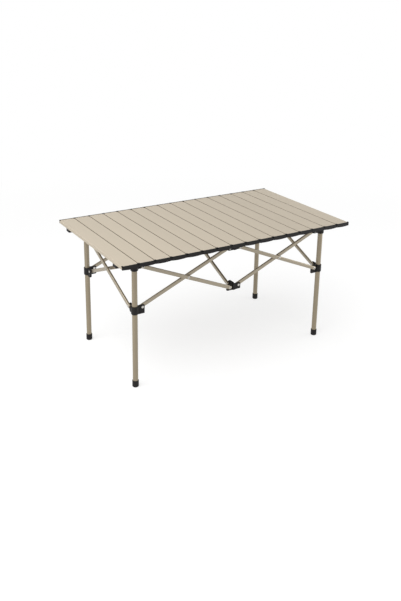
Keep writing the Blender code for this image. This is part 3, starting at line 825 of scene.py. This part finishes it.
TOP_LENGTH = 0.950
TOP_DEPTH = 0.545
TOP = 0.484
CAP_LIP = 0.0024
RIM_HEIGHT = 0.0009
BOSS_RISE = 0.0004
SURFACE_DROP = RIM_HEIGHT + BOSS_RISE
SLAT_COUNT = 16
SLAT_HEIGHT = 0.012
SLAT_GAP = 0.0013
JOINT_GAP = 0.0006
SEAM_REACH = 0.0024
SEAM_DEPTH = 0.0006
# Dark brown painted into the joints between slats as painted shade.
SEAM_PAINTED_SHADE = (0.095, 0.070, 0.043)
SLAT_METAL = (0.530, 0.462, 0.362)
SLAT_SHADES = (0.95, 1.05)
SLAT_STREAK = (700, 6, 700)
SLAT_BUMP = 0.00003
SLAT_PITCH = (TOP_LENGTH + JOINT_GAP) / SLAT_COUNT
SLAT_SIZES = {
    "Width": SLAT_PITCH - SLAT_GAP,
    "Depth": TOP_DEPTH - 2 * CAP_LIP,
    "Height": SLAT_HEIGHT - SURFACE_DROP,
    "Wall": 0.0011,
    "Flare": (SLAT_GAP - JOINT_GAP) / 2,
    "Edge Radius": 0.0018,
    "Rib Height": 0.007,
    "Notch Radius": 0.0046,
}
NOTCH_TOOL_HEIGHT = 0.006
NOTCH_TOOL_LIFT = 0.0014
RIB_SHORTFALL = 0.01
OUTLINE_WELD = 1e-6

slat_wire, end_slat = new_finish("champagne slat coating")
slat_place = slat_wire.add("ShaderNodeTexCoord", {}, {}, "Object")
slat_x = slat_wire.add("ShaderNodeSeparateXYZ", {}, {0: slat_place}, "X")
slat_share = (slat_x + TOP_LENGTH / 2 + JOINT_GAP / 2) / SLAT_PITCH
slat_number = slat_wire.maths("FLOOR", slat_share)
joint_distance = (0.5 - slat_wire.maths("ABSOLUTE", slat_share - slat_number - 0.5)) * SLAT_PITCH
slat_z = slat_wire.add("ShaderNodeSeparateXYZ", {}, {0: slat_place}, "Z")
# Painted shade: near each joint, the slats' side walls below the top turn dark brown and rougher, standing
# for the shade in the gap, so the joints show as dark lines.
slat_seam_painted_shade = ((TOP - SURFACE_DROP - slat_z) / SEAM_DEPTH).clamped() * (joint_distance < SEAM_REACH)
slat_ends = slat_wire.maths("ABSOLUTE", slat_x) > TOP_LENGTH / 2 - SEAM_REACH
# Painted shade: the outer side walls of the first and last slats, below their rounded edge, are turned to the
# darker slat tone.
slat_end_wall_painted_shade = slat_ends * (slat_z < TOP - SLAT_SIZES["Edge Radius"])
slat_seam_painted_shade = slat_seam_painted_shade * (1 - slat_ends)
slat_tone = slat_wire.add("ShaderNodeTexWhiteNoise", {"noise_dimensions": "1D"}, {"W": slat_number}, "Value")
slat_lines = slat_wire.noise(slat_wire.stretched(slat_place, SLAT_STREAK), 1.0, 3.0)
slat_cloud = slat_wire.noise(slat_place, 6.0, 2.0)
slat_peel = slat_wire.noise(slat_place, 1300.0, 2.0)
slat_coating = end_slat(
    {
        "Base Color": slat_wire.blend(
            slat_seam_painted_shade,
            slat_wire.blend(
                (slat_tone * 0.40 + slat_lines * 0.35 + slat_cloud * 0.25 - slat_end_wall_painted_shade * 1.2).clamped(),
                *(tinted(SLAT_METAL, share) for share in SLAT_SHADES),
            ),
            SEAM_PAINTED_SHADE,
        ),
        "Metallic": 0.25,
        "Roughness": slat_lines * 0.08 + slat_peel * 0.08 + slat_seam_painted_shade * 0.3 + 0.42,
    },
    slat_peel * 0.5 + slat_lines * 0.5,
    SLAT_BUMP,
)


def prism(wire, count, x, y, radius, depth):
    """A closed outline of so many points in XZ, its corners filleted, drawn out about Y."""
    line = wire.add("GeometryNodeMeshLine", {}, {"Count": count})
    spot = wire.add("ShaderNodeCombineXYZ", {}, {"X": x, "Y": y})
    line = wire.add("GeometryNodeSetPosition", {}, {"Geometry": line, "Position": spot})
    curve = wire.add("GeometryNodeMeshToCurve", {}, {"Mesh": line})
    curve = wire.add("GeometryNodeSetSplineCyclic", {}, {"Geometry": curve, "Cyclic": True})
    sockets = {"Curve": curve, "Count": 4, "Radius": radius, "Limit Radius": True}
    curve = wire.add("GeometryNodeFilletCurve", {"mode": "POLY"}, sockets)
    face = wire.add("GeometryNodeFillCurve", {}, {"Curve": curve})
    along = wire.add("ShaderNodeCombineXYZ", {}, {"Z": depth})
    sockets = {"Mesh": face, "Offset": along, "Offset Scale": 1.0, "Individual": False}
    walls = wire.add("GeometryNodeExtrudeMesh", {"mode": "FACES"}, sockets)
    back = wire.add("GeometryNodeFlipFaces", {}, {"Mesh": face})
    sockets = {"Geometry": joined(wire, [walls, back]), "Distance": OUTLINE_WELD}
    body = wire.add("GeometryNodeMergeByDistance", {}, sockets)
    middle = wire.add("ShaderNodeCombineXYZ", {}, {"Y": depth * 0.5})
    sockets = {"Geometry": body, "Rotation": (math.pi / 2, 0, 0), "Translation": middle}
    return wire.add("GeometryNodeTransform", {}, sockets)


def cornered(wire, width, depth, radius, tall, height):
    """Four upright cylinders, one on each corner of a rectangle."""
    sockets = {"Size X": width, "Size Y": depth, "Vertices X": 2, "Vertices Y": 2}
    corners = wire.add("GeometryNodeMeshGrid", {}, sockets, "Mesh")
    peg = wire.add("GeometryNodeMeshCylinder", {}, {"Vertices": 32, "Radius": radius, "Depth": tall}, "Mesh")
    pegs = wire.add("GeometryNodeInstanceOnPoints", {}, {"Points": corners, "Instance": peg})
    pegs = wire.add("GeometryNodeRealizeInstances", {}, {0: pegs})
    lift = wire.add("ShaderNodeCombineXYZ", {}, {"Z": height})
    return wire.add("GeometryNodeTransform", {}, {"Geometry": pegs, "Translation": lift})


# Points 0 to 3 of the outline run over the channel's outside, and 4 to 7 come back along its inside.
wire, size, end_tree = new_tree("Slat", SLAT_SIZES)
index = wire.add("GeometryNodeInputIndex")
inner = index > 3.5
station = index + inner * (7 - index * 2)
roof = wire.maths("ABSOLUTE", station - 1.5) < 1.0
side = (station > 1.5) * 2 - 1
channel = prism(
    wire,
    8,
    side * (size["Width"] * 0.5 + (1 - roof) * size["Flare"] - inner * size["Wall"]),
    (roof - 1) * size["Height"] - roof * inner * size["Wall"],
    roof * (1 - inner * 0.8) * size["Edge Radius"] + (1 - roof) * size["Wall"] * 0.3,
    size["Depth"],
)
tool_radius = size["Notch Radius"]
notches = cornered(wire, size["Width"], size["Depth"], tool_radius, NOTCH_TOOL_HEIGHT, NOTCH_TOOL_LIFT)
settings = {"operation": "DIFFERENCE", "solver": "EXACT"}
channel = wire.add("GeometryNodeMeshBoolean", settings, {"Mesh 1": channel, "Mesh 2": notches})
third = wire.add("ShaderNodeCombineXYZ", {}, {"X": size["Width"] / 3})
rib_middle = size["Rib Height"] * -0.5 - size["Wall"] * 0.25
first = wire.add("ShaderNodeCombineXYZ", {}, {"X": size["Width"] / -6, "Z": rib_middle})
stations = wire.add("GeometryNodeMeshLine", {}, {"Count": 2, "Start Location": first, "Offset": third})
rib_height = size["Rib Height"] - size["Wall"] * 0.5
sockets = {"X": size["Wall"], "Y": size["Depth"] - RIB_SHORTFALL, "Z": rib_height}
rib_size = wire.add("ShaderNodeCombineXYZ", {}, sockets)
rib = wire.add("GeometryNodeMeshCube", {}, {"Size": rib_size}, "Mesh")
ribs = wire.add("GeometryNodeInstanceOnPoints", {}, {"Points": stations, "Instance": rib})
slat_tree = end_tree(joined(wire, [channel, ribs]), slat_coating)
one_slat = grown(slat_tree, SLAT_SIZES)


def slat_middle(number):
    """The middle of a slat's top face."""
    return Vector(((number - (SLAT_COUNT + 1) / 2) * SLAT_PITCH, 0, TOP))


for number in range(1, SLAT_COUNT + 1):
    node = f"slat_{number:02d}"
    mesh = one_slat.copy()
    mesh.transform(Matrix.Translation(slat_middle(number) - Vector((0, 0, SURFACE_DROP))))
    add_piece(f"channel_{number:02d}", mesh, slat_coating, node, "slat_metal", node)

# End caps
# A black plastic cap closes each end of each slat. It hangs a little below the channel in a shallow
# curve, and its upper corners show as small black dots in the slats' notches.

CAP_SIZES = {
    "Width": SLAT_SIZES["Width"] + 0.0004,
    "Depth": TOP_DEPTH,
    "Thickness": CAP_LIP - 0.0002,
    "Rim Drop": BOSS_RISE,
    "Edge Depth": 0.0132,
    "Belly": 0.0018,
    "Slat Width": SLAT_SIZES["Width"],
    "Slat Depth": SLAT_SIZES["Depth"],
    "Boss Radius": SLAT_SIZES["Notch Radius"] - 0.0003,
    "Boss Height": 0.004,
    "Plug Width": SLAT_SIZES["Width"] - 0.003,
    "Plug Reach": 0.008,
    "Plug Height": 0.0085,
    "Plug Drop": 0.0025,
}
CAP_POINTS = 18
CAP_CORNER = 0.0003
CAP_EDGE = 0.0007


def paired(wire, piece, reach, height):
    """Two copies of a piece, one at either end of the slat."""
    apart = wire.add("ShaderNodeCombineXYZ", {}, {"Y": reach * 2})
    first = wire.add("ShaderNodeCombineXYZ", {}, {"Y": reach * -1, "Z": height})
    stations = wire.add("GeometryNodeMeshLine", {}, {"Count": 2, "Start Location": first, "Offset": apart})
    return wire.add("GeometryNodeInstanceOnPoints", {}, {"Points": stations, "Instance": piece})


# The plate's outline starts and ends at its upper corners, and its other points hang along the curve.
wire, size, end_tree = new_tree("End caps", CAP_SIZES)
index = wire.add("GeometryNodeInputIndex")
share = ((index - 1) / (CAP_POINTS - 3)).clamped()
is_roof = (index < 0.5) + (index > CAP_POINTS - 1.5)
hang = size["Edge Depth"] + size["Belly"] * wire.maths("SINE", share * math.pi)
plate = prism(
    wire,
    CAP_POINTS,
    (share - 0.5) * size["Width"],
    (is_roof - 1) * hang - is_roof * size["Rim Drop"],
    is_roof * CAP_CORNER,
    size["Thickness"],
)
plates = paired(wire, plate, (size["Depth"] - size["Thickness"]) * 0.5, 0.0)
sockets = {"X": size["Plug Width"], "Y": size["Plug Reach"], "Z": size["Plug Height"]}
plug_size = wire.add("ShaderNodeCombineXYZ", {}, sockets)
plug = wire.add("GeometryNodeMeshCube", {}, {"Size": plug_size}, "Mesh")
plug_y = (size["Slat Depth"] - size["Plug Reach"]) * 0.5
plugs = paired(wire, plug, plug_y, size["Plug Height"] * -0.5 - size["Plug Drop"])
boss_middle = size["Boss Height"] * -0.5
pegs = (size["Boss Radius"], size["Boss Height"], boss_middle)
bosses = cornered(wire, size["Slat Width"], size["Slat Depth"], *pegs)
sockets = {"X": size["Width"], "Y": size["Depth"], "Z": size["Boss Height"] * 4}
limit_size = wire.add("ShaderNodeCombineXYZ", {}, sockets)
limits = wire.add("GeometryNodeMeshCube", {}, {"Size": limit_size}, "Mesh")
settings = {"operation": "INTERSECT", "solver": "EXACT"}
bosses = wire.add("GeometryNodeMeshBoolean", settings, {0: [bosses, limits]})
cap_tree = end_tree(joined(wire, [plates, plugs, bosses]), black_plastic)
one_pair = grown(cap_tree, CAP_SIZES, CAP_EDGE)
for number in range(1, SLAT_COUNT + 1):
    mesh = one_pair.copy()
    mesh.transform(Matrix.Translation(slat_middle(number)))
    add_piece(f"caps_{number:02d}", mesh, black_plastic, f"slat_{number:02d}", "black_plastic")

# Studio
# A plain pale floor that fades to white away from the table, a white world, three soft lamps, and a
# camera that gives the photograph's view.

FLOOR_SIZE = 60.0
FLOOR_GLOW = 0.725
FLOOR_BOUNCE = 0.25
FAR_BOUNCE = 0.45
FADE_START = 1.0
FADE_LENGTH = 1.6
FLOOR_SHADE = (0.34, 0.34, 0.34, 1)
WORLD_LIGHT = 0.36
WHITE = (1, 1, 1, 1)
LAMP_TARGET = (0, 0, 0.3)

floor = bmesh.new()
bmesh.ops.create_grid(floor, x_segments=1, y_segments=1, size=FLOOR_SIZE / 2)
floor_object = loose("floor", plain("floor", floor))
floor_finish = bpy.data.materials.new("pale floor")
floor_finish.use_nodes = True
floor_finish.node_tree.nodes.clear()
world = bpy.data.worlds.new("studio")
world.use_nodes = True
world.node_tree.nodes.clear()


def seen_glow(wire, seen, unseen):
    """A strength for what the camera, a gloss or glass sees, and another for what only lights the table."""
    seeing = 0.0
    for kind in ("Is Camera Ray", "Is Glossy Ray", "Is Transmission Ray"):
        seeing = wire.maths("MAXIMUM", seeing, wire.add("ShaderNodeLightPath", {}, {}, kind))
    return seeing * (seen - unseen) + unseen


wire = Wire(floor_finish.node_tree)
matt = wire.add("ShaderNodeBsdfDiffuse", {}, {"Color": FLOOR_SHADE})
glow = wire.add("ShaderNodeEmission", {}, {"Strength": seen_glow(wire, FLOOR_GLOW, FLOOR_BOUNCE)})
near = wire.add("ShaderNodeAddShader", {}, {0: matt, 1: glow})
far = wire.add("ShaderNodeEmission", {}, {"Strength": seen_glow(wire, 1.0, FAR_BOUNCE)})
spot = wire.add("ShaderNodeTexCoord", {}, {}, "Object")
distance = wire.add("ShaderNodeVectorMath", {"operation": "LENGTH"}, {0: spot}, "Value")
fade = ((distance - FADE_START) / FADE_LENGTH).clamped()
surface = wire.add("ShaderNodeMixShader", {}, {0: fade, 1: near, 2: far})
wire.add("ShaderNodeOutputMaterial", {}, {"Surface": surface})
floor_object.data.materials.append(floor_finish)
wire = Wire(world.node_tree)
sky = wire.add("ShaderNodeBackground", {}, {"Color": WHITE, "Strength": seen_glow(wire, 1.0, WORLD_LIGHT)})
wire.add("ShaderNodeOutputWorld", {}, {"Surface": sky})
bpy.context.scene.world = world


def add_lamp(kind, name, place, power, soft):
    """A lamp that points at the middle of the table. Its softness is a sun's angle or an area's width."""
    data = bpy.data.lights.new(name, kind)
    data.energy = power
    if kind == "SUN":
        data.angle = soft
    else:
        data.size = soft
    lamp = loose(name, data)
    lamp.location = place
    lamp.rotation_euler = (Vector(LAMP_TARGET) - Vector(place)).to_track_quat("-Z", "Y").to_euler()


add_lamp("SUN", "key", place=(-0.9, -0.3, 2.8), power=0.96, soft=math.radians(55))
add_lamp("AREA", "side", place=(-1.45, -0.3, 1.45), power=23.0, soft=1.8)
add_lamp("AREA", "fill", place=(1.7, -0.7, 0.42), power=12.0, soft=1.3)

CAMERA_PLACE = (-1.390, -2.222, 1.337)
CAMERA_YAW = -31.807
CAMERA_PITCH = -17.138
CAMERA_ROLL = 1.020
CAMERA_LENS = 43.667
CAMERA_SENSOR = 36
CAMERA_SHIFT = (-0.0033, -0.1514)

yaw, pitch, roll = (math.radians(angle) for angle in (CAMERA_YAW, CAMERA_PITCH, CAMERA_ROLL))
ahead = Vector((-math.sin(yaw) * math.cos(pitch), math.cos(yaw) * math.cos(pitch), math.sin(pitch)))
level = Vector((math.cos(yaw), math.sin(yaw), 0))
above = level.cross(ahead)
right = math.cos(roll) * level + math.sin(roll) * above
up = math.cos(roll) * above - math.sin(roll) * level
camera_data = bpy.data.cameras.new("camera")
camera_data.lens = CAMERA_LENS
camera_data.sensor_width = CAMERA_SENSOR
camera_data.shift_x, camera_data.shift_y = CAMERA_SHIFT
camera = loose("camera", camera_data)
camera.matrix_world = Matrix.Translation(CAMERA_PLACE) @ Matrix((right, up, -ahead)).transposed().to_4x4()
scene = bpy.context.scene
scene.camera = camera
scene.view_settings.view_transform = "Standard"
